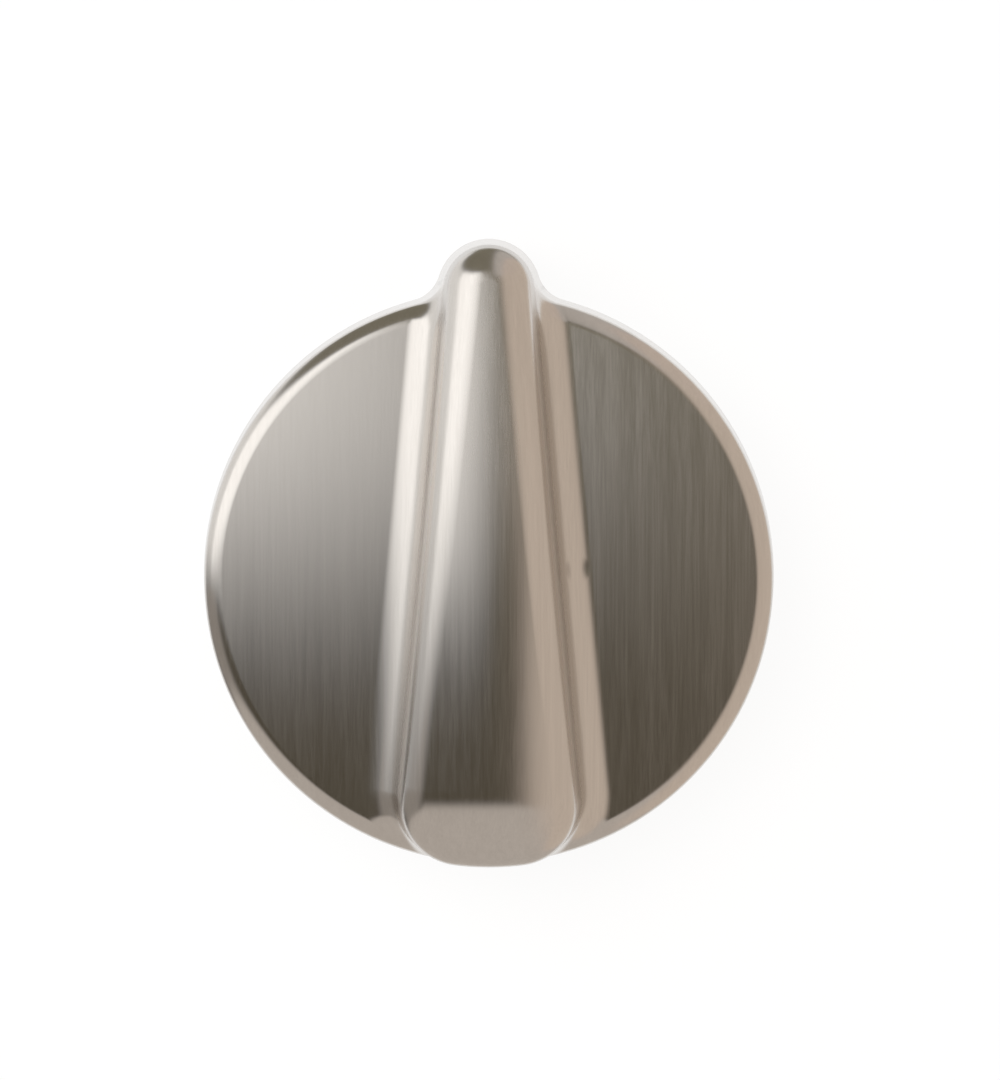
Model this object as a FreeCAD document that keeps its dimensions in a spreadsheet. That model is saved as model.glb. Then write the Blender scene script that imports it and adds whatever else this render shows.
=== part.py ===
import FreeCAD, Part
import math
import os
import Sketcher

# Oven control knob: a drawn steel shell over a moulded core, with a spring clip for the shaft.
# Z runs out of the face along the shaft, Y points along the pointer, the back edge lies at z = 0.

Vector = FreeCAD.Vector
UP = Vector(0, 0, 1)

# Driving sizes, in millimetres and degrees
SIZES = {
    # the round skirt and its face
    "base_radius": 28.5,
    "side_draft": 3.0,
    "face_height": 13.2,
    "crown_radius": 340.0,
    "rim_round": 2.0,
    # the finger bar that ends in the pointer
    "tip_reach": 28.35,
    "tip_radius": 5.25,
    "bar_taper": 5.2,
    "bar_draft": 3.5,
    "end_reach": 28.8,
    "end_corner": 7.2,
    "crest_height": 24.0,
    "crest_across": 20.0,
    "crest_along": 300.0,
    "roll_start": 8.8,
    "roll_radius": 12.0,
    "shoulder_round": 3.5,
    "foot_round": 3.5,
    # the steel sheet and its turned-in edge
    "sheet_thickness": 0.6,
    "hem_round": 0.8,
    "lip_width": 2.0,
    # the moulded core
    "core_gap": 0.1,
    "core_wall": 1.8,
    "stem_radius": 6.0,
    "stem_recess": 0.8,
    "stem_top": 17.0,
    "rib_thickness": 1.5,
    "rib_recess": 2.5,
    "rib_count": 4,
    # the socket for the flatted shaft
    "shaft_diameter": 6.0,
    "shaft_across_flat": 5.0,
    "shaft_gap": 0.05,
    "bore_top": 15.0,
    "lead_in": 0.6,
    # the spring clip in the flat of the socket
    "clip_thickness": 0.45,
    "clip_width": 3.2,
    "clip_gap": 0.1,
    "clip_bow": 30.0,
    "clip_top": 11.5,
    "clip_recess": 0.8,
    "web_thickness": 1.0,
    "web_recess": 1.4,
    # how far tools run past the solids that they cut
    "overrun": 1.0,
}

# Insets from the outside of the shell
OUTSIDE = "0"
UNDER_SHEET = "sizes.sheet_thickness"
CORE_SKIN = f"({UNDER_SHEET} + sizes.core_gap)"
CORE_HOLLOW = f"({CORE_SKIN} + sizes.core_wall)"
LIP_EDGE = "sizes.lip_width"

# The sketcher's words: points of a line or arc, axes of a sketch
POINTS = ["edge", "start", "end", "centre"]
AXES = ["none", "across_axis", "up_axis"]
ORIGIN = ("across_axis", "start")

doc = FreeCAD.newDocument("knob")
sheet = doc.addObject("Spreadsheet::Sheet", "sizes")
for row, (name, value) in enumerate(SIZES.items(), start=1):
    sheet.set(f"A{row}", name)
    sheet.set(f"B{row}", str(value))
    sheet.setAlias(f"B{row}", name)
doc.recompute()


def amount(expression):
    """An expression of the sheet's sizes as a number."""
    return float(sheet.evalExpression(expression))


def origin_part(body, role):
    return next(item for item in body.Origin.OriginFeatures if item.Role == role)


def new_body(label):
    body = doc.addObject("PartDesign::Body", label)
    body.Label = label
    return body


def new_sketch(body, name, role, height=None, shift=None, turn=0):
    """A sketch on one of the body's own planes, raised or shifted by expressions, or turned in its plane."""
    sketch = body.newObject("Sketcher::SketchObject", name)
    sketch.AttachmentSupport = (origin_part(body, role), [""])
    sketch.MapMode = "FlatFace"
    sketch.AttachmentOffset = FreeCAD.Placement(Vector(0, 0, 0), FreeCAD.Rotation(UP, turn))
    if height:
        sketch.setExpression("AttachmentOffset.Base.z", height)
    if shift:
        sketch.setExpression("AttachmentOffset.Base.y", shift)
    return sketch


def line(sketch, start, end):
    return sketch.addGeometry(Part.LineSegment(Vector(*start, 0), Vector(*end, 0)), False)


def arc(sketch, centre, radius, start, end):
    """An arc whose circle begins opposite the arc's middle, so that no seam of the solid crosses it."""
    turn = (start + end) / 2 - 180
    circle = Part.Circle(Vector(*centre, 0), UP, radius)
    circle.AngleXU = math.radians(turn)
    piece = Part.ArcOfCircle(circle, math.radians(start - turn), math.radians(end - turn))
    return sketch.addGeometry(piece, False)


def numbered(items):
    """The sketcher's numbers for its words; anything else stays as it is."""
    for item in items:
        if item in POINTS:
            yield POINTS.index(item)
        elif item in AXES:
            yield -AXES.index(item)
        else:
            yield item


def fix(sketch, kind, *items):
    sketch.addConstraint(Sketcher.Constraint(kind, *numbered(items)))


def drive(sketch, name, expression, kind, *items):
    """Adds a named dimension and binds it to the sheet."""
    value = amount(expression)
    if kind == "Angle":
        value = math.radians(value)
    index = sketch.addConstraint(Sketcher.Constraint(kind, *numbered(items), value))
    sketch.renameConstraint(index, name)
    sketch.setExpression(f"Constraints.{name}", expression)


def across(sketch, name, expression, item, point):
    """Sets how far a point lies to the right of the sketch's origin."""
    drive(sketch, name, expression, "DistanceX", *ORIGIN, item, point)


def above(sketch, name, expression, item, point):
    """Sets how far a point lies above the sketch's origin."""
    drive(sketch, name, expression, "DistanceY", *ORIGIN, item, point)


def chain(sketch, sides):
    """Joins the end of each side to the start of the next, all round."""
    for side, following in zip(sides, sides[1:] + sides[:1]):
        fix(sketch, "Coincident", side, "end", following, "start")


def feature(body, kind, name, profile=None, **settings):
    """Adds a feature. A setting given as text is bound to the sheet, any other is set as it is."""
    made = body.newObject(f"PartDesign::{kind}", name)
    if profile:
        made.Profile = profile
    for key, value in settings.items():
        if isinstance(value, str) and key not in ("Type", "SideType"):
            made.setExpression(key, value)
        else:
            setattr(made, key, value)
    if hasattr(made, "Refine"):
        made.Refine = False
    doc.recompute()
    return made


def edge_names(shape, wanted):
    return [f"Edge{number}" for number, edge in enumerate(shape.Edges, start=1) if wanted(edge)]


def meeting(shape, edge):
    """The middle of an edge, and the normals there of the faces that meet at it."""
    middle = edge.valueAt((edge.FirstParameter + edge.LastParameter) / 2)
    faces = shape.ancestorsOfType(edge, Part.Face)
    return middle, [face.normalAt(*face.Surface.parameter(middle)) for face in faces]


def is_corner(shape, edge):
    """True where two faces meet at an angle, and don't just run into each other."""
    middle, normals = meeting(shape, edge)
    return len(normals) == 2 and math.degrees(normals[0].getAngle(normals[1])) > 3


def is_concave(shape, edge):
    """True for an inside corner, such as the line where the bar stands on the face."""
    if not is_corner(shape, edge):
        return False
    middle, (first, second) = meeting(shape, edge)
    step = (first - second) * 0.02
    return shape.isInside(middle + step, 1e-6, True) and shape.isInside(middle - step, 1e-6, True)


def circle_outline(body, name, radius, height=None):
    sketch = new_sketch(body, name, "XY_Plane", height=height)
    ring = sketch.addGeometry(Part.Circle(Vector(0, 0, 0), UP, amount(radius)), False)
    fix(sketch, "Coincident", ring, "centre", *ORIGIN)
    drive(sketch, "radius", radius, "Radius", ring)
    return sketch


def box_outline(sketch, x_low, x_high, y_low, y_high):
    """A rectangle whose four sides are bound to expressions."""
    left, right, low, high = amount(x_low), amount(x_high), amount(y_low), amount(y_high)
    bottom_side = line(sketch, (left, low), (right, low))
    right_side = line(sketch, (right, low), (right, high))
    top_side = line(sketch, (right, high), (left, high))
    left_side = line(sketch, (left, high), (left, low))
    chain(sketch, [bottom_side, right_side, top_side, left_side])
    fix(sketch, "Horizontal", bottom_side)
    fix(sketch, "Horizontal", top_side)
    fix(sketch, "Vertical", right_side)
    fix(sketch, "Vertical", left_side)
    across(sketch, "x_low", x_low, left_side, "end")
    across(sketch, "x_high", x_high, right_side, "end")
    above(sketch, "y_low", y_low, bottom_side, "start")
    above(sketch, "y_high", y_high, top_side, "start")


def bar_outline(body, name, inset):
    """The bar from the front: a round tip, tapering sides, round corners and an end that follows the disc."""
    sketch = new_sketch(body, name, "XY_Plane")
    slack = f"{inset} / cos(sizes.bar_draft)"
    tip_reach, tip_radius = "sizes.tip_reach", f"sizes.tip_radius - {slack}"
    end_radius, corner_radius = f"sizes.end_reach - {slack}", f"sizes.end_corner - {slack}"

    # Where the right-hand corner lies: inside the side by its radius, and touching the end from inside
    taper = amount("sizes.bar_taper")
    tip_y, tip_r = amount(tip_reach), amount(tip_radius)
    end_r, corner_r = amount(end_radius), amount(corner_radius)
    outward = Vector(math.cos(math.radians(taper)), math.sin(math.radians(taper)), 0)
    down = Vector(outward.y, -outward.x, 0)
    side_top = Vector(0, tip_y, 0) + outward * tip_r
    start = side_top - outward * corner_r
    run = math.sqrt(start.dot(down) ** 2 - start.dot(start) + (end_r - corner_r) ** 2) - start.dot(down)
    corner = start + down * run
    side_low = corner + outward * corner_r
    lean = math.degrees(math.atan2(corner.x, -corner.y))

    tip = arc(sketch, (0, tip_y), tip_r, taper, 180 - taper)
    right = line(sketch, (side_top.x, side_top.y), (side_low.x, side_low.y))
    left = line(sketch, (-side_top.x, side_top.y), (-side_low.x, side_low.y))
    right_corner = arc(sketch, (corner.x, corner.y), corner_r, lean - 90, taper)
    left_corner = arc(sketch, (-corner.x, corner.y), corner_r, 180 - taper, 270 - lean)
    end = arc(sketch, (0, 0), end_r, 270 - lean, 270 + lean)

    fix(sketch, "Tangent", tip, "start", right, "start")
    fix(sketch, "Tangent", tip, "end", left, "start")
    fix(sketch, "Tangent", right, "end", right_corner, "end")
    fix(sketch, "Tangent", left, "end", left_corner, "start")
    fix(sketch, "Tangent", right_corner, "start", end, "end")
    fix(sketch, "Tangent", left_corner, "end", end, "start")
    fix(sketch, "PointOnObject", tip, "centre", "up_axis")
    fix(sketch, "Coincident", end, "centre", *ORIGIN)
    fix(sketch, "Equal", right_corner, left_corner)
    above(sketch, "tip_reach", tip_reach, tip, "centre")
    drive(sketch, "tip_radius", tip_radius, "Radius", tip)
    drive(sketch, "end_radius", end_radius, "Radius", end)
    drive(sketch, "corner_radius", corner_radius, "Radius", right_corner)
    drive(sketch, "right_side", "sizes.bar_taper - 90", "Angle", right)
    drive(sketch, "left_side", "-90 - sizes.bar_taper", "Angle", left)
    return sketch


def crown_section(body, name, inset, reach, **place):
    """The section of a cut that leaves a crowned crest, at a reach from the axis that it is turned about."""
    section = new_sketch(body, name, "XY_Plane", **place)
    crown_centre, crown_radius = f"{reach} - sizes.crest_across", f"sizes.crest_across - {inset}"
    half_width, ceiling = "0.6 * sizes.crest_across", f"{reach} + sizes.crest_height"
    centre_y, radius = amount(crown_centre), amount(crown_radius)
    half, top = amount(half_width), amount(ceiling)
    low = centre_y + math.sqrt(radius ** 2 - half ** 2)
    lean = math.degrees(math.acos(half / radius))
    crown = arc(section, (0, centre_y), radius, lean, 180 - lean)
    left = line(section, (-half, low), (-half, top))
    over = line(section, (-half, top), (half, top))
    right = line(section, (half, top), (half, low))
    chain(section, [crown, left, over, right])
    fix(section, "Vertical", left)
    fix(section, "Vertical", right)
    fix(section, "Horizontal", over)
    fix(section, "PointOnObject", crown, "centre", "up_axis")
    above(section, "crown_centre", crown_centre, crown, "centre")
    drive(section, "crown_radius", crown_radius, "Radius", crown)
    across(section, "left_edge", f"-{half_width}", left, "start")
    across(section, "right_edge", half_width, right, "start")
    above(section, "ceiling", ceiling, over, "start")
    return section


def bar_form(label, inset):
    """The bar from below the back edge to its crest, with drafted walls and rounded shoulders."""
    body = new_body(label)
    outline = bar_outline(body, f"{label}_outline", inset)
    block = feature(body, "Pad", f"{label}_block", outline, SideType="Two sides",
                    Length="sizes.crest_height + sizes.overrun", Length2="sizes.overrun")
    walls = [f"Face{number}" for number, face in enumerate(block.Shape.Faces, start=1)
             if abs(face.normalAt(0, 0).z) < 0.5]
    feature(body, "Draft", f"{label}_draft", Base=(block, walls), Angle="sizes.bar_draft",
            NeutralPlane=(origin_part(body, "XY_Plane"), [""]))

    # The crest is crowned across and along: a section turned about an axis far below the knob
    axis_height = "sizes.crest_height - sizes.crest_along"
    crest_section = crown_section(body, f"{label}_crest_section", inset, "sizes.crest_along",
                                  height=axis_height)
    feature(body, "Groove", f"{label}_crest", crest_section,
            ReferenceAxis=(crest_section, ["H_Axis"]), Angle=360.0)

    # Near the wide end it rolls down, about an axis that lies square under the crest where the roll starts,
    # which is measured in from that end, so that the roll moves with it
    slope = "asin((sizes.end_reach - sizes.roll_start) / sizes.crest_along)"
    lever = "(sizes.crest_along - sizes.roll_radius)"
    roll_section = crown_section(body, f"{label}_roll_section", inset, "sizes.roll_radius", turn=180,
                                 height=f"{axis_height} + {lever} * cos({slope})",
                                 shift=f"-{lever} * sin({slope})")
    roll = feature(body, "Groove", f"{label}_roll", roll_section,
                   ReferenceAxis=(roll_section, ["H_Axis"]), Angle=f"90 deg - {slope}")

    # The shoulders are limited by the tip, which is the tightest bend that they go round
    form, waist = roll.Shape, amount("sizes.crest_height") / 2
    shoulders = edge_names(form, lambda edge: edge.BoundBox.ZMin > waist and is_corner(form, edge))
    tip_at_crest = "(sizes.tip_radius - sizes.crest_height * tan(sizes.bar_draft))"
    feature(body, "Fillet", f"{label}_shoulders", Base=(roll, shoulders),
            Radius=f"min(sizes.shoulder_round; 0.95 * {tip_at_crest}) - {inset}")
    return body


def knob_form(label, inset, bottom):
    """The whole knob inside a given inset of its outer surface, trimmed flat at the bottom height."""
    body = new_body(label)
    low_edge = "-sizes.overrun"
    run_out = "sizes.overrun * tan(sizes.side_draft)"
    low_radius = f"sizes.base_radius - {inset} / cos(sizes.side_draft) + {run_out}"
    top, crown_radius = f"sizes.face_height - {inset}", f"sizes.crown_radius - {inset}"
    low_z, low_x, top_z, crown_r = amount(low_edge), amount(low_radius), amount(top), amount(crown_radius)
    edge_x = low_x - (top_z - low_z) * math.tan(math.radians(amount("sizes.side_draft")))
    lean = math.degrees(math.asin(edge_x / crown_r))
    edge_z = top_z - crown_r * (1 - math.cos(math.radians(lean)))

    section = new_sketch(body, f"{label}_section", "YZ_Plane")
    floor = line(section, (0, low_z), (low_x, low_z))
    wall = line(section, (low_x, low_z), (edge_x, edge_z))
    crown = arc(section, (0, top_z - crown_r), crown_r, 90 - lean, 90)
    axis = line(section, (0, top_z), (0, low_z))
    chain(section, [floor, wall, crown, axis])
    fix(section, "Horizontal", floor)
    fix(section, "PointOnObject", axis, "start", "up_axis")
    fix(section, "PointOnObject", axis, "end", "up_axis")
    fix(section, "PointOnObject", crown, "centre", "up_axis")
    above(section, "low_edge", low_edge, floor, "start")
    across(section, "low_radius", low_radius, floor, "end")
    drive(section, "wall_lean", "90 + sizes.side_draft", "Angle", wall)
    above(section, "top", top, axis, "start")
    drive(section, "crown_radius", crown_radius, "Radius", crown)
    turned = feature(body, "Revolution", f"{label}_turned", section,
                     ReferenceAxis=(section, ["V_Axis"]), Angle=360.0)
    rings = [edge for edge in turned.Shape.Edges if edge.BoundBox.XLength > edge_x]
    top_ring = max(rings, key=lambda edge: edge.BoundBox.ZMin)
    rim = edge_names(turned.Shape, top_ring.isSame)
    feature(body, "Fillet", f"{label}_rim", Base=(turned, rim), Radius=f"sizes.rim_round - {inset}")

    bar = bar_form(f"{label}_bar", inset)
    feature(body, "Boolean", f"{label}_join", Group=[bar], Type="Fuse")

    # Trimming the bottom leaves one flat face there, on which the foot rounds can end
    cutter = circle_outline(body, f"{label}_trim_outline", "2 * sizes.base_radius", height=bottom)
    trim = feature(body, "Pocket", f"{label}_trim", cutter, Length="4 * sizes.overrun")
    foot = edge_names(trim.Shape, lambda edge: is_concave(trim.Shape, edge))
    feature(body, "Fillet", f"{label}_foot", Base=(trim, foot), Radius=f"sizes.foot_round + {inset}")
    return body


# Drawn steel shell: one sheet that makes the face, the bar with its pointer, the side and a turned-in edge
shell = knob_form("steel_shell", OUTSIDE, "0")
foot = shell.Tip
hem = edge_names(foot.Shape, lambda edge: edge.BoundBox.ZMax < 0.01)
feature(shell, "Fillet", "shell_hem", Base=(foot, hem), Radius="sizes.hem_round")
inside = knob_form("shell_inside", UNDER_SHEET, UNDER_SHEET)
feature(shell, "Boolean", "shell_hollow", Group=[inside], Type="Cut")
disc_opening = circle_outline(shell, "lip_disc_outline", f"sizes.base_radius - {LIP_EDGE}")
feature(shell, "Pocket", "lip_disc_opening", disc_opening, Length="2 * sizes.sheet_thickness", Reversed=True)
tip_opening = bar_outline(shell, "lip_tip_outline", LIP_EDGE)
feature(shell, "Pocket", "lip_tip_opening", tip_opening, Length="2 * sizes.sheet_thickness", Reversed=True)

# Moulded core: fills the shell with an even gap, hollow behind, with ribs and a stem for the shaft
core = knob_form("moulded_core", CORE_SKIN, CORE_SKIN)
hollow_top = f"(sizes.face_height - sizes.base_radius ^ 2 / (2 * sizes.crown_radius) - {CORE_HOLLOW})"
hollow_radius = f"(sizes.base_radius - {CORE_HOLLOW} / cos(sizes.side_draft))"
hollow = circle_outline(core, "core_hollow_outline", hollow_radius)
feature(core, "Pocket", "core_hollow", hollow,
        Length=hollow_top, Reversed=True, TaperAngle="-sizes.side_draft")
bar_hollow = bar_form("core_bar_hollow", CORE_HOLLOW)
feature(core, "Boolean", "core_bar_cavity", Group=[bar_hollow], Type="Cut")

# Ribs and stem run a little way into the walls that they join
rib_root = "sizes.core_wall / 5"
rib_outline = new_sketch(core, "rib_outline", "XY_Plane", height="sizes.rib_recess", turn=45)
box_outline(rib_outline, "sizes.stem_radius / 2", f"{hollow_radius} + {rib_root}",
            "-sizes.rib_thickness / 2", "sizes.rib_thickness / 2")
rib = feature(core, "Pad", "rib", rib_outline, Length=f"{hollow_top} - sizes.rib_recess + {rib_root}")
ribs = feature(core, "PolarPattern", "ribs", Originals=[rib], Axis=(origin_part(core, "Z_Axis"), [""]),
               Angle=360.0, Occurrences="sizes.rib_count")
core.Tip = ribs
stem_outline = circle_outline(core, "stem_outline", "sizes.stem_radius", height="sizes.stem_recess")
feature(core, "Pad", "stem", stem_outline, Length="sizes.stem_top - sizes.stem_recess")

# Socket for the shaft: round with a flat, a recess in the flat and a slot behind it for the clip
bore_radius = "(sizes.shaft_diameter / 2 + sizes.shaft_gap)"
shaft_flat = "(sizes.shaft_across_flat - sizes.shaft_diameter / 2 + sizes.shaft_gap)"
bore_flat = f"({shaft_flat} + sizes.clip_gap / 2)"
web_face = f"({bore_flat} + sizes.clip_recess)"
slot_face = f"({web_face} + sizes.web_thickness)"
slot_end = f"({slot_face} + sizes.clip_thickness + 2 * sizes.clip_gap)"
slot_half = "(sizes.clip_width / 2 + sizes.clip_gap)"
web_end = "(sizes.stem_recess + sizes.web_recess)"

bore_r, flat_y = amount(bore_radius), amount(bore_flat)
flat_x = math.sqrt(bore_r ** 2 - flat_y ** 2)
flat_turn = math.degrees(math.atan2(flat_y, flat_x))
bore_outline = new_sketch(core, "bore_outline", "XY_Plane")
bore_wall = arc(bore_outline, (0, 0), bore_r, 180 - flat_turn, 360 + flat_turn)
flat_side = line(bore_outline, (flat_x, flat_y), (-flat_x, flat_y))
chain(bore_outline, [bore_wall, flat_side])
fix(bore_outline, "Coincident", bore_wall, "centre", *ORIGIN)
fix(bore_outline, "Horizontal", flat_side)
drive(bore_outline, "radius", bore_radius, "Radius", bore_wall)
above(bore_outline, "flat", bore_flat, flat_side, "start")
feature(core, "Pocket", "bore", bore_outline, Length="sizes.bore_top", Reversed=True)

mouth_height, mouth_radius = "sizes.stem_recess", f"{bore_radius} + sizes.lead_in"
cone_height = f"{mouth_height} + sizes.lead_in"
low_z, high_z, wide_r = amount(mouth_height), amount(cone_height), amount(mouth_radius)
cone = new_sketch(core, "lead_in_section", "YZ_Plane")
cone_mouth = line(cone, (0, low_z), (wide_r, low_z))
cone_side = line(cone, (wide_r, low_z), (bore_r, high_z))
cone_top = line(cone, (bore_r, high_z), (0, high_z))
cone_axis = line(cone, (0, high_z), (0, low_z))
chain(cone, [cone_mouth, cone_side, cone_top, cone_axis])
fix(cone, "Horizontal", cone_mouth)
fix(cone, "Horizontal", cone_top)
fix(cone, "PointOnObject", cone_axis, "start", "up_axis")
fix(cone, "PointOnObject", cone_axis, "end", "up_axis")
above(cone, "mouth_height", mouth_height, cone_mouth, "start")
across(cone, "mouth_radius", mouth_radius, cone_mouth, "end")
above(cone, "cone_height", cone_height, cone_top, "end")
across(cone, "bore_radius", bore_radius, cone_top, "start")
feature(core, "Groove", "lead_in_cone", cone, ReferenceAxis=(cone, ["V_Axis"]), Angle=360.0)

for name, y_low, y_high, top in (
    ("clip_recess", "0", web_face, "sizes.clip_top + sizes.overrun"),
    ("clip_slot", slot_face, slot_end, "sizes.clip_top + sizes.overrun"),
    ("clip_mouth", "0", slot_end, web_end),
):
    outline = new_sketch(core, f"{name}_outline", "XY_Plane")
    box_outline(outline, f"-{slot_half}", slot_half, y_low, y_high)
    feature(core, "Pocket", name, outline, Length=top, Reversed=True)

# Spring clip: a strip folded over the web, its inner leg bowed towards the shaft
clip = new_body("shaft_clip")
half_strip = "sizes.clip_thickness / 2"
outer_leg = f"({slot_face} + sizes.clip_gap + {half_strip})"
bow_centre = f"({shaft_flat} + {half_strip} + sizes.clip_bow)"
bow_height = f"({web_end} + sizes.clip_top) / 2"
leg_y, leg_top, bend_z = amount(outer_leg), amount("sizes.clip_top"), amount(web_end)
bow_y, bow_z, bow_r = amount(bow_centre), amount(bow_height), amount("sizes.clip_bow")
swing = math.degrees(math.asin((leg_top - bow_z) / bow_r))
bend_r = (leg_y - bow_y + bow_r) / 2
path = new_sketch(clip, "clip_path", "YZ_Plane")
straight = line(path, (leg_y, leg_top), (leg_y, bend_z))
bend = arc(path, (leg_y - bend_r, bend_z), bend_r, 180 + swing, 360)
bowed = arc(path, (bow_y, bow_z), bow_r, 180 - swing, 180 + swing)
fix(path, "Vertical", straight)
fix(path, "Tangent", straight, "end", bend, "end")
fix(path, "Tangent", bend, "start", bowed, "end")
across(path, "outer_leg", outer_leg, straight, "start")
above(path, "outer_top", "sizes.clip_top", straight, "start")
above(path, "bend_height", web_end, bend, "centre")
drive(path, "bow", "sizes.clip_bow", "Radius", bowed)
across(path, "bow_centre", bow_centre, bowed, "centre")
above(path, "bow_height", bow_height, bowed, "centre")
above(path, "inner_top", "sizes.clip_top", bowed, "start")

strip = new_sketch(clip, "clip_strip", "XY_Plane", height="sizes.clip_top")
box_outline(strip, "-sizes.clip_width / 2", "sizes.clip_width / 2",
            f"{outer_leg} - {half_strip}", f"{outer_leg} + {half_strip}")
feature(clip, "AdditivePipe", "clip_leaf", strip, Spine=(path, []))

# Checks on the model, then one STEP file for each piece
doc.recompute()
for item in doc.Objects:
    if "Invalid" in item.State or "Error" in item.State:
        raise RuntimeError(f"{item.Name} did not build: {item.State}")
os.makedirs("parts", exist_ok=True)
for body in (shell, core, clip):
    shape = body.Shape
    if shape.isNull() or not shape.isValid() or len(shape.Solids) != 1:
        raise RuntimeError(f"{body.Label} is not one sound solid")
    print(f"{body.Label}: {shape.Volume:.1f} cubic mm, {len(shape.Faces)} faces")
    shape.exportStep(f"parts/{body.Label}.step")
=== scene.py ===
# %% [markdown]
# # An oven control knob in brushed steel
#
# The knob is three pieces: a shell drawn from one steel sheet, a black moulded core that fills it, and a
# folded spring clip in the core's socket. Their shapes come from the CAD model, so this lesson is about
# finishes and light. It loads the model first and prints how many faces each piece has, since looks never
# change size.

import math

import bpy
import numpy as np
from mathutils import Matrix, Vector

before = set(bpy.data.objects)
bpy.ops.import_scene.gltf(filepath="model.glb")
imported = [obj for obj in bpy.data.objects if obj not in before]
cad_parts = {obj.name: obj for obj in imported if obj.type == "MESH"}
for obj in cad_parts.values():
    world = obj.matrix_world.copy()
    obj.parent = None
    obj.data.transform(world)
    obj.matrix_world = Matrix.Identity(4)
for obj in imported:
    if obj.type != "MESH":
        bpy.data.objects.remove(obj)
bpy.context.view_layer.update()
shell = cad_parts["steel_shell"]
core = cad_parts["moulded_core"]
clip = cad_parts["shaft_clip"]
MM = 0.001
for piece in (shell, core, clip):
    print(f"{piece.name}: {len(piece.data.polygons)} faces")

# %% [markdown]
# ## A short way to wire nodes
#
# Every finish below is a small tree of shader nodes. Adding nodes one by one fills pages, so a few helpers do
# the typing. One adds a node and fills or links its inputs, one is the soft step that the finishes use most,
# and one does a sum. The last two start a finish and put it on a piece.

# %% Node helpers
def add(tree, kind, inputs=None, **settings):
    """Adds a node; an input that is given a socket is linked, any other is set."""
    made = tree.nodes.new(f"ShaderNode{kind}")
    for name, value in settings.items():
        setattr(made, name, value)
    for name, value in (inputs or {}).items():
        if isinstance(value, bpy.types.NodeSocket):
            tree.links.new(value, made.inputs[name])
        else:
            made.inputs[name].default_value = value
    return made


def ramp(tree, value, start, end, low=0.0, high=1.0):
    """A soft step: low where the value is at start, high where it is at end."""
    step = add(tree, "MapRange", {"Value": value, "From Min": start, "From Max": end,
                                  "To Min": low, "To Max": high}, interpolation_type="SMOOTHSTEP")
    return step.outputs["Result"]


def maths(tree, operation, first, second):
    """One sum of two values, such as ADD or MULTIPLY."""
    return add(tree, "Math", {0: first, 1: second}, operation=operation).outputs[0]


def new_finish(name):
    """An empty material with a Principled shader, which every finish starts from."""
    material = bpy.data.materials.new(name)
    material.use_nodes = True
    tree = material.node_tree
    return material, tree, tree.nodes["Principled BSDF"]


def paint(piece, material):
    """Makes a material the only one on a piece."""
    piece.data.materials.clear()
    piece.data.materials.append(material)
    print(f"{piece.name}: {material.name}")


# %% [markdown]
# ## True normals on a drawn sheet
#
# Polished metal shows the least wobble of its normals. The facets of the CAD mesh are uneven, so normals
# averaged from them do wobble. But every point lies exactly on the designed surface. So a small bowl, a
# surface of second degree, is fitted to the points round each point, and its slope there gives the normal.

# %% A first guess at the normals
TINY = 1e-30


def facet_normals(places, corners):
    """A first guess: the facets round a point, counted by their angles there."""
    sides = places[np.roll(corners, -1, 1)] - places[corners]
    facets = np.cross(sides[:, 0], sides[:, 1])
    facets /= np.linalg.norm(facets, axis=1, keepdims=True) + TINY
    sides /= np.linalg.norm(sides, axis=2, keepdims=True) + TINY
    angles = np.arccos(np.clip(-(sides * np.roll(sides, 1, 1)).sum(2), -1, 1))
    normals = np.zeros_like(places)
    for corner in range(3):
        np.add.at(normals, corners[:, corner], facets * angles[:, corner, None])
    lengths = np.linalg.norm(normals, axis=1, keepdims=True)
    return np.where(lengths > 0, normals / np.maximum(lengths, TINY), (0, 0, 1))


def points_around(places, corners):
    """For each point, the points that share an edge with it."""
    around = [set() for _ in places]
    for first, second, third in corners.tolist():
        around[first].update((second, third))
        around[second].update((first, third))
        around[third].update((first, second))
    return around


# %% [markdown]
# The fit takes in the neighbours of each point and their neighbours, apart from those that face another way,
# since these lie past an edge. Near points count more than far ones.

# %% Fit the normals
SAME_WAY = 0.8
FEWEST_POINTS = 6
NEAREST = 0.05
FLAT_LIMIT = 1e-4


def side_axes(axis):
    """Two directions that are square to an axis and to each other."""
    helper = (0, 1, 0) if abs(axis[1]) < 0.7 else (1, 0, 0)
    across = np.cross(axis, helper)
    across /= np.linalg.norm(across)
    return across, np.cross(axis, across)


def fitted_normals(places, corners):
    """The normal of a small bowl that is fitted round each point."""
    guess = facet_normals(places, corners)
    around = points_around(places, corners)
    fitted = guess.copy()
    for point, near in enumerate(around):
        axis = guess[point]
        wide = np.array(list(near.union(*(around[other] for other in near)) - {point}))
        wide = wide[guess[wide] @ axis > SAME_WAY]
        if len(wide) < FEWEST_POINTS:
            continue
        steps = places[wide] - places[point]
        steps /= np.median(np.linalg.norm(steps, axis=1))
        across, along = side_axes(axis)
        u, v, height = steps @ across, steps @ along, steps @ axis
        weight = 1 / (np.hypot(u, v) + NEAREST)
        bowl = np.stack((u, v, u * u, u * v, v * v), 1) * weight[:, None]
        slope = np.linalg.lstsq(bowl, height * weight, rcond=FLAT_LIMIT)[0]
        fitted[point] = axis - slope[0] * across - slope[1] * along
    return fitted / np.linalg.norm(fitted, axis=1, keepdims=True)


# %% [markdown]
# ## One skin over many CAD faces
#
# A drawn sheet has no seams: its rounds run into its flats. The mesh comes in one patch for each CAD face,
# and at the border of two patches each has points of its own. Points at one place get one normal between
# them, unless the sheet has a real edge there. Only the shading changes, and the shape stays as it is.

# %% Smooth the shell
SAME_PLACE = 0.0005 * MM
REAL_EDGE = math.radians(35)


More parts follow.
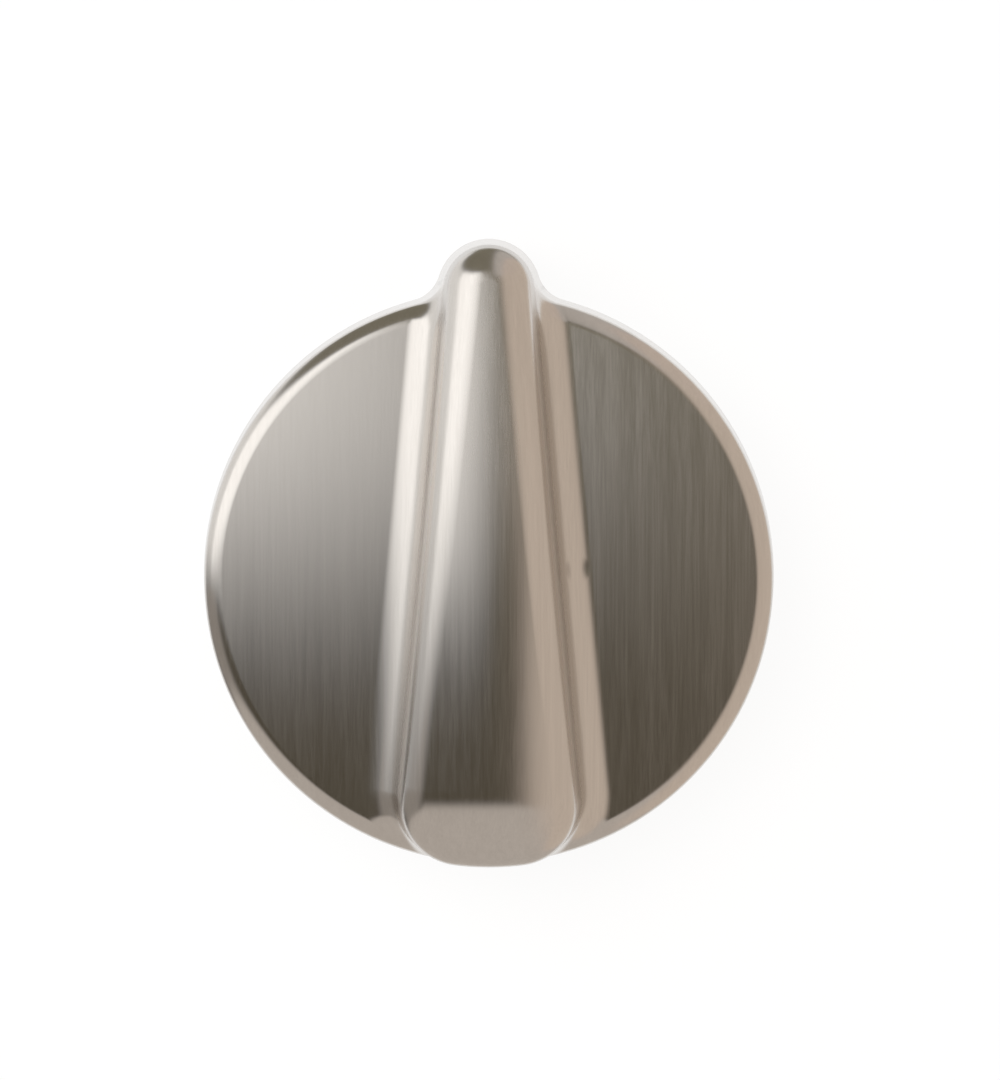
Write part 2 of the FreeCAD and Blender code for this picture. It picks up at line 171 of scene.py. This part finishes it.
def smooth_skin(piece, crease):
    """Fits a piece's normals, and shares them where patches meet at less than the crease angle."""
    mesh = piece.data
    mesh.shade_smooth()
    places = np.empty(len(mesh.vertices) * 3)
    mesh.vertices.foreach_get("co", places)
    places = places.reshape(-1, 3)
    corners = np.empty(len(mesh.loops), int)
    mesh.loops.foreach_get("vertex_index", corners)
    normals = fitted_normals(places, corners.reshape(-1, 3))

    cells = np.round(places / SAME_PLACE).astype(np.int64)
    groups = np.unique(cells, axis=0, return_inverse=True)[1].ravel()
    order = np.argsort(groups, kind="stable")
    ends = np.flatnonzero(np.diff(groups[order])) + 1
    shared = normals.copy()
    for members in np.split(order, ends):
        alike = normals[members] @ normals[members].T > math.cos(crease)
        shared[members] = alike @ normals[members]
    shared /= np.linalg.norm(shared, axis=1, keepdims=True)
    mesh.normals_split_custom_set_from_vertices(shared)
    print(f"{piece.name}: {len(ends) + 1} places, {len(places)} points")


smooth_skin(shell, REAL_EDGE)

# %% [markdown]
# ## Brushed steel
#
# The sheet was brushed along the bar, so fine scratches run in Y on the two faces and the crest, and the
# rounds between them have none. Scratches are noise stretched along Y: fine ones, and broader streaks.
# Every ramp on noise in this lesson runs between the same two values, which are named here.

# %% Grain of the steel
GRAIN_LOW = 0.3
GRAIN_HIGH = 0.7
FINE_SHARE = 0.55
BROAD_SHARE = 0.45


def streaks(tree, place, across, along, detail=4.0):
    """Noise drawn out along Y, with so many streaks to the metre across it."""
    stretched = add(tree, "VectorMath", {0: place, 1: (across, along, across)}, operation="MULTIPLY")
    noise = add(tree, "TexNoise", {"Vector": stretched.outputs[0], "Scale": 1.0, "Detail": detail,
                                   "Roughness": 0.6})
    return noise.outputs["Fac"]


def steel_grain(tree, place):
    """Fine scratches and broader streaks, added up."""
    fine = maths(tree, "MULTIPLY", streaks(tree, place, 6500.0, 90.0), FINE_SHARE)
    broad = maths(tree, "MULTIPLY", streaks(tree, place, 1100.0, 16.0, 2.0), BROAD_SHARE)
    return maths(tree, "ADD", fine, broad)


# %% [markdown]
# How rough the steel is depends on the place. Where it faces up, the grain sets it. The steep flanks of the
# bar are duller than the other rounds, and the crest is worn a little duller towards its narrow end.

# %% Roughness of the steel
BRIGHT_SCRATCH = 0.17
DULL_SCRATCH = 0.22
WEAR = 0.07
ROUND_ROUGHNESS = 0.20
FLANK_ROUGHNESS = 0.36


def steel_roughness(tree, place, facing, flat, grain):
    """Brushed where the steel is flat, even in the rounds, and dull on the flanks of the bar."""
    along, height = add(tree, "SeparateXYZ", {0: place}).outputs[1:]
    steep = ramp(tree, facing, 0.45, 0.15)
    on_bar = ramp(tree, height, 12 * MM, 14 * MM)
    flank = maths(tree, "MULTIPLY", steep, on_bar)
    rounds = ramp(tree, flank, 0.0, 1.0, ROUND_ROUGHNESS, FLANK_ROUGHNESS)
    crest = ramp(tree, height, 20 * MM, 22 * MM)
    worn = maths(tree, "MULTIPLY", crest, ramp(tree, along, -4 * MM, 14 * MM, 0.0, WEAR))
    scratched = ramp(tree, grain, GRAIN_LOW, GRAIN_HIGH, BRIGHT_SCRATCH, DULL_SCRATCH)
    brushed = maths(tree, "ADD", scratched, worn)
    mixed = add(tree, "Mix", {"Factor": flat, 2: rounds, 3: brushed}, data_type="FLOAT")
    return mixed.outputs[0]


# %% [markdown]
# The scratches also tilt the surface a little, which is a bump. One small dent in the foot of the bar, on its
# right, is kept: a bump too, which fades out from its place. An anisotropic shader smears reflections across
# the grain, so its tangent points along X.

# %% Brushed steel
DENT_PLACE = Vector((8.6, 1.1, 13.5)) * MM
DENT_REACH = 1.5 * MM
DENT_DEPTH = 0.11 * MM
SCRATCH_DEPTH = 0.02 * MM
SCRATCH_STRENGTH = 0.045
DARK_STEEL = (0.605, 0.575, 0.545, 1.0)
LIGHT_STEEL = (0.655, 0.625, 0.595, 1.0)


def steel_bumps(tree, place, flat, grain):
    """Scratches on the flats, laid over the one dent."""
    offset = add(tree, "VectorMath", {0: place, 1: DENT_PLACE}, operation="DISTANCE").outputs["Value"]
    dent = add(tree, "Bump", {"Height": ramp(tree, offset, 0.0, DENT_REACH), "Distance": DENT_DEPTH})
    strength = maths(tree, "MULTIPLY", flat, SCRATCH_STRENGTH)
    scratch = add(tree, "Bump", {"Height": grain, "Strength": strength, "Distance": SCRATCH_DEPTH,
                                 "Normal": dent.outputs["Normal"]})
    return scratch.outputs["Normal"]


def brushed_steel():
    """The shell's finish."""
    material, tree, steel = new_finish("brushed_steel")
    place = add(tree, "TexCoord").outputs["Object"]
    facing = add(tree, "SeparateXYZ", {0: add(tree, "NewGeometry").outputs["Normal"]}).outputs["Z"]
    flat = ramp(tree, facing, 0.90, 0.975)
    grain = steel_grain(tree, place)
    tint = add(tree, "MixRGB", {"Fac": ramp(tree, grain, GRAIN_LOW, GRAIN_HIGH), "Color1": DARK_STEEL,
                                "Color2": LIGHT_STEEL})
    across_grain = add(tree, "CombineXYZ", {"X": 1.0})
    tree.links.new(tint.outputs[0], steel.inputs["Base Color"])
    tree.links.new(steel_roughness(tree, place, facing, flat, grain), steel.inputs["Roughness"])
    tree.links.new(steel_bumps(tree, place, flat, grain), steel.inputs["Normal"])
    tree.links.new(across_grain.outputs[0], steel.inputs["Tangent"])
    steel.inputs["Metallic"].default_value = 1.0
    steel.inputs["Anisotropic"].default_value = 0.6
    return material


paint(shell, brushed_steel())

# %% [markdown]
# ## Black moulded core
#
# Only the back of the knob shows the core: a matt black moulding. The mould's fine spark texture is a small
# bump, and handling leaves patches that are a little glossier.

# %% Black plastic
DARK_BLACK = (0.022, 0.022, 0.024, 1.0)
LIGHT_BLACK = (0.038, 0.038, 0.040, 1.0)
DULL_PLASTIC = 0.58
GLOSSY_PLASTIC = 0.44
SPARK_DEPTH = 0.05 * MM


def black_plastic():
    """The core's finish."""
    material, tree, plastic = new_finish("black_plastic")
    place = add(tree, "TexCoord").outputs["Object"]
    spark = add(tree, "TexNoise", {"Vector": place, "Scale": 3500.0, "Detail": 3.0}).outputs["Fac"]
    patches = add(tree, "TexNoise", {"Vector": place, "Scale": 160.0, "Detail": 2.0}).outputs["Fac"]
    tint = add(tree, "MixRGB", {"Fac": patches, "Color1": DARK_BLACK, "Color2": LIGHT_BLACK})
    roughness = ramp(tree, patches, GRAIN_LOW, GRAIN_HIGH, DULL_PLASTIC, GLOSSY_PLASTIC)
    texture = add(tree, "Bump", {"Height": spark, "Strength": 0.25, "Distance": SPARK_DEPTH})
    tree.links.new(tint.outputs[0], plastic.inputs["Base Color"])
    tree.links.new(roughness, plastic.inputs["Roughness"])
    tree.links.new(texture.outputs["Normal"], plastic.inputs["Normal"])
    return material


paint(core, black_plastic())

# %% [markdown]
# ## Spring clip
#
# The clip is bent from rolled spring strip, so its grain runs along the strip, up the legs. The steel is a
# little darker and duller than the shell's.

# %% Spring steel
DARK_STRIP = (0.48, 0.48, 0.47, 1.0)
LIGHT_STRIP = (0.60, 0.60, 0.59, 1.0)
BRIGHT_STRIP = 0.26
DULL_STRIP = 0.40
ROLLING_DEPTH = 0.02 * MM


def spring_steel():
    """The clip's finish."""
    material, tree, strip = new_finish("spring_steel")
    place = add(tree, "TexCoord").outputs["Object"]
    rolled = add(tree, "VectorMath", {0: place, 1: (6000.0, 300.0, 120.0)}, operation="MULTIPLY")
    grain = add(tree, "TexNoise", {"Vector": rolled.outputs[0], "Scale": 1.0, "Detail": 3.0}).outputs["Fac"]
    tint = add(tree, "MixRGB", {"Fac": grain, "Color1": DARK_STRIP, "Color2": LIGHT_STRIP})
    roughness = ramp(tree, grain, GRAIN_LOW, GRAIN_HIGH, BRIGHT_STRIP, DULL_STRIP)
    rolling = add(tree, "Bump", {"Height": grain, "Strength": 0.15, "Distance": ROLLING_DEPTH})
    tree.links.new(tint.outputs[0], strip.inputs["Base Color"])
    tree.links.new(roughness, strip.inputs["Roughness"])
    tree.links.new(rolling.outputs["Normal"], strip.inputs["Normal"])
    strip.inputs["Metallic"].default_value = 1.0
    return material


paint(clip, spring_steel())

# %% [markdown]
# ## A white floor
#
# The knob lies on its back edge on plain white. To keep the white even, most of it is a glow, and a small
# share is paint that takes the shadow. The camera sees all of the floor and the steel sees what lies close to
# it. Light from below passes, and so does a look from underneath, so the back of the knob shows too.

# %% Floor material
def floor_white(paint_share, glow, mirrored_to, mirrored_from):
    """White when seen from above, and in the steel close to the knob; clear to everything else."""
    material = bpy.data.materials.new("white_floor")
    material.use_nodes = True
    tree = material.node_tree
    tree.nodes.clear()
    white = add(tree, "Emission", {"Color": (1.0, 1.0, 1.0, 1.0), "Strength": glow})
    matt = add(tree, "BsdfDiffuse", {"Color": (paint_share, paint_share, paint_share, 1.0)})
    lit = add(tree, "AddShader", {0: white.outputs[0], 1: matt.outputs[0]})
    rays = add(tree, "LightPath").outputs
    place = add(tree, "TexCoord").outputs["Object"]
    distance = add(tree, "VectorMath", {0: place}, operation="LENGTH").outputs["Value"]
    close = ramp(tree, distance, mirrored_from, mirrored_to)
    mirrored = maths(tree, "MULTIPLY", rays["Is Glossy Ray"], close)
    seen = maths(tree, "MAXIMUM", rays["Is Camera Ray"], rays["Is Transmission Ray"])
    shown = maths(tree, "MAXIMUM", seen, mirrored)
    front = maths(tree, "SUBTRACT", 1.0, add(tree, "NewGeometry").outputs["Backfacing"])
    clear = add(tree, "BsdfTransparent")
    either = add(tree, "MixShader", {0: maths(tree, "MULTIPLY", shown, front),
                                     1: clear.outputs[0], 2: lit.outputs[0]})
    add(tree, "OutputMaterial", {"Surface": either.outputs[0]})
    return material


# %% [markdown]
# The floor itself is one large square. It lies a hair below the back edge, because two faces in one plane
# would flicker.

# %% Floor
def lay_floor(half_width, drop, material):
    """A square floor below the knob."""
    corners = [(-half_width, -half_width, -drop), (half_width, -half_width, -drop),
               (half_width, half_width, -drop), (-half_width, half_width, -drop)]
    mesh = bpy.data.meshes.new("floor")
    mesh.from_pydata(corners, [], [(0, 1, 2, 3)])
    mesh.materials.append(material)
    floor = bpy.data.objects.new("floor", mesh)
    bpy.context.scene.collection.objects.link(floor)
    floor.visible_diffuse = False
    floor.visible_shadow = False
    print(f"floor: {2 * half_width} m wide")


lay_floor(half_width=6.0, drop=0.05 * MM,
          material=floor_white(paint_share=0.12, glow=0.90, mirrored_to=36 * MM, mirrored_from=44 * MM))

# %% [markdown]
# ## A studio in the world shader
#
# Polished metal has hardly a look of its own: it shows the room. A world shader can tell directions apart, so
# each thing in the room is made of ramps along X, Y or Z, which run from -1 to 1. The first is a white panel
# on the left. It ends in a slanted edge, fades towards the near side, and has a brighter part further out.

# %% White panel
PANEL_WHITE = (0.99, 0.98, 0.96)
PANEL_GLARE = (0.55, 0.55, 0.55)
PANEL_SLANT = 1.7


def both(tree, first, second):
    """Where two ramps are both up."""
    return maths(tree, "MULTIPLY", first, second)


def surface(tree, amount, colour):
    """A colour that shows where the amount is 1, and black elsewhere."""
    return add(tree, "MixRGB", {"Fac": amount, "Color1": (0, 0, 0, 1), "Color2": (*colour, 1)}).outputs[0]


def white_panel(tree, x, y, z):
    """The panel, and the glare that is added to it further out."""
    slanted = maths(tree, "ADD", y, maths(tree, "MULTIPLY", x, PANEL_SLANT))
    far_edge = both(tree, ramp(tree, y, 0.74, 0.54), ramp(tree, slanted, 0.215, 0.13))
    wide = both(tree, ramp(tree, y, -0.185, 0.125), ramp(tree, x, 0.14, -0.13))
    bright = both(tree, ramp(tree, y, -0.12, 0.08), ramp(tree, x, -0.14, -0.36))
    above_floor = ramp(tree, z, -0.05, 0.25)
    panel = surface(tree, both(tree, far_edge, wide), PANEL_WHITE)
    glare = surface(tree, both(tree, both(tree, far_edge, bright), above_floor), PANEL_GLARE)
    return add(tree, "MixRGB", {"Fac": 1.0, "Color1": panel, "Color2": glare}, blend_type="ADD").outputs[0]


# %% [markdown]
# There are four walls too: tan ones on the right, the near side and the far right, and a darker one on the
# left. Between them is a dark gap, where a camera stands. Where two of these overlap, the lighter one shows.
# The camera itself sees plain white in place of the room.

# %% Studio
RIGHT_TAN = (0.70, 0.60, 0.51)
NEAR_TAN = (0.60, 0.55, 0.50)
FAR_TAN = (0.60, 0.56, 0.52)
LEFT_BROWN = (0.34, 0.31, 0.28)
GAP_NEAR = (0.094, 0.080, 0.056, 1)
GAP_FAR = (0.24, 0.22, 0.17, 1)


def lighter(tree, first, second):
    """The lighter of two colours."""
    return add(tree, "MixRGB", {"Fac": 1.0, "Color1": first, "Color2": second},
               blend_type="LIGHTEN").outputs[0]


def studio():
    """A world that is the room to the steel and white to the camera."""
    world = bpy.data.worlds.new("studio")
    bpy.context.scene.world = world
    world.use_nodes = True
    tree = world.node_tree
    tree.nodes.clear()
    x, y, z = add(tree, "SeparateXYZ", {0: add(tree, "TexCoord").outputs["Generated"]}).outputs
    gap = add(tree, "MixRGB", {"Fac": ramp(tree, y, -0.2, 0.25), "Color1": GAP_NEAR, "Color2": GAP_FAR})
    far_right = both(tree, ramp(tree, y, 0.25, 0.6), ramp(tree, x, 0.0, 0.25))
    walls = [surface(tree, ramp(tree, x, -0.6, -0.9), LEFT_BROWN),
             surface(tree, ramp(tree, x, 0.16, 0.52), RIGHT_TAN),
             surface(tree, ramp(tree, y, -0.30, -0.50), NEAR_TAN),
             surface(tree, far_right, FAR_TAN)]
    room = lighter(tree, gap.outputs[0], white_panel(tree, x, y, z))
    for wall in walls:
        room = lighter(tree, room, wall)
    seen = add(tree, "LightPath").outputs["Is Camera Ray"]
    view = add(tree, "MixRGB", {"Fac": seen, "Color1": room, "Color2": (1.0, 1.0, 1.0, 1.0)})
    background = add(tree, "Background", {"Color": view.outputs[0], "Strength": 1.0})
    add(tree, "OutputWorld", {"Surface": background.outputs[0]})
    print(f"studio: {len(walls)} walls and a panel")


studio()

# %% [markdown]
# ## Soft lamps for the dull pieces
#
# The room is half dark, which suits steel but leaves plastic too dim. Two large soft lamps bring matt
# surfaces to a plain level. They are kept out of reflections, so the steel goes on showing the room only.

# %% Lamps
LAMP_SIZE = 0.9
LAMP_POWER = 4.0


def soft_lamp(name, place):
    """A round lamp that is aimed at the knob."""
    data = bpy.data.lights.new(name, "AREA")
    data.shape = "DISK"
    data.size = LAMP_SIZE
    data.energy = LAMP_POWER
    lamp = bpy.data.objects.new(name, data)
    bpy.context.scene.collection.objects.link(lamp)
    lamp.location = place
    lamp.rotation_euler = (-Vector(place)).to_track_quat("-Z", "Y").to_euler()
    lamp.visible_glossy = False
    lamp.visible_camera = False
    print(f"{name}: {LAMP_POWER} W, {LAMP_SIZE} m across")


soft_lamp("lamp_above", (-0.25, 0.2, 0.9))
soft_lamp("lamp_below", (0.2, -0.2, -0.9))

# %% [markdown]
# ## The camera
#
# The picture is taken from the front, a little above the middle of the knob, through a long lens from about
# 0.6 m, so that 100 mm fill its width. The aim is set off the middle as in the picture.

# %% Camera
CAMERA_DISTANCE = 600 * MM
CAMERA_RISE = math.radians(2.4)
AIM = Vector((1.11 * MM, 3.47 * MM, 0))
FRAME_HEIGHT = 108 * MM

camera_data = bpy.data.cameras.new("camera")
camera_data.lens = camera_data.sensor_width * CAMERA_DISTANCE / FRAME_HEIGHT
camera_data.clip_start = 0.01
camera = bpy.data.objects.new("camera", camera_data)
bpy.context.scene.collection.objects.link(camera)
camera.location = Vector((0, math.sin(CAMERA_RISE), math.cos(CAMERA_RISE))) * CAMERA_DISTANCE
back = (camera.location - AIM).normalized()
right = Vector((0, 1, 0)).cross(back).normalized()
camera.rotation_euler = Matrix((right, back.cross(right), back)).transposed().to_euler()
bpy.context.scene.camera = camera
bpy.context.scene.view_settings.view_transform = "Standard"
print(f"lens: {camera_data.lens:.0f} mm")
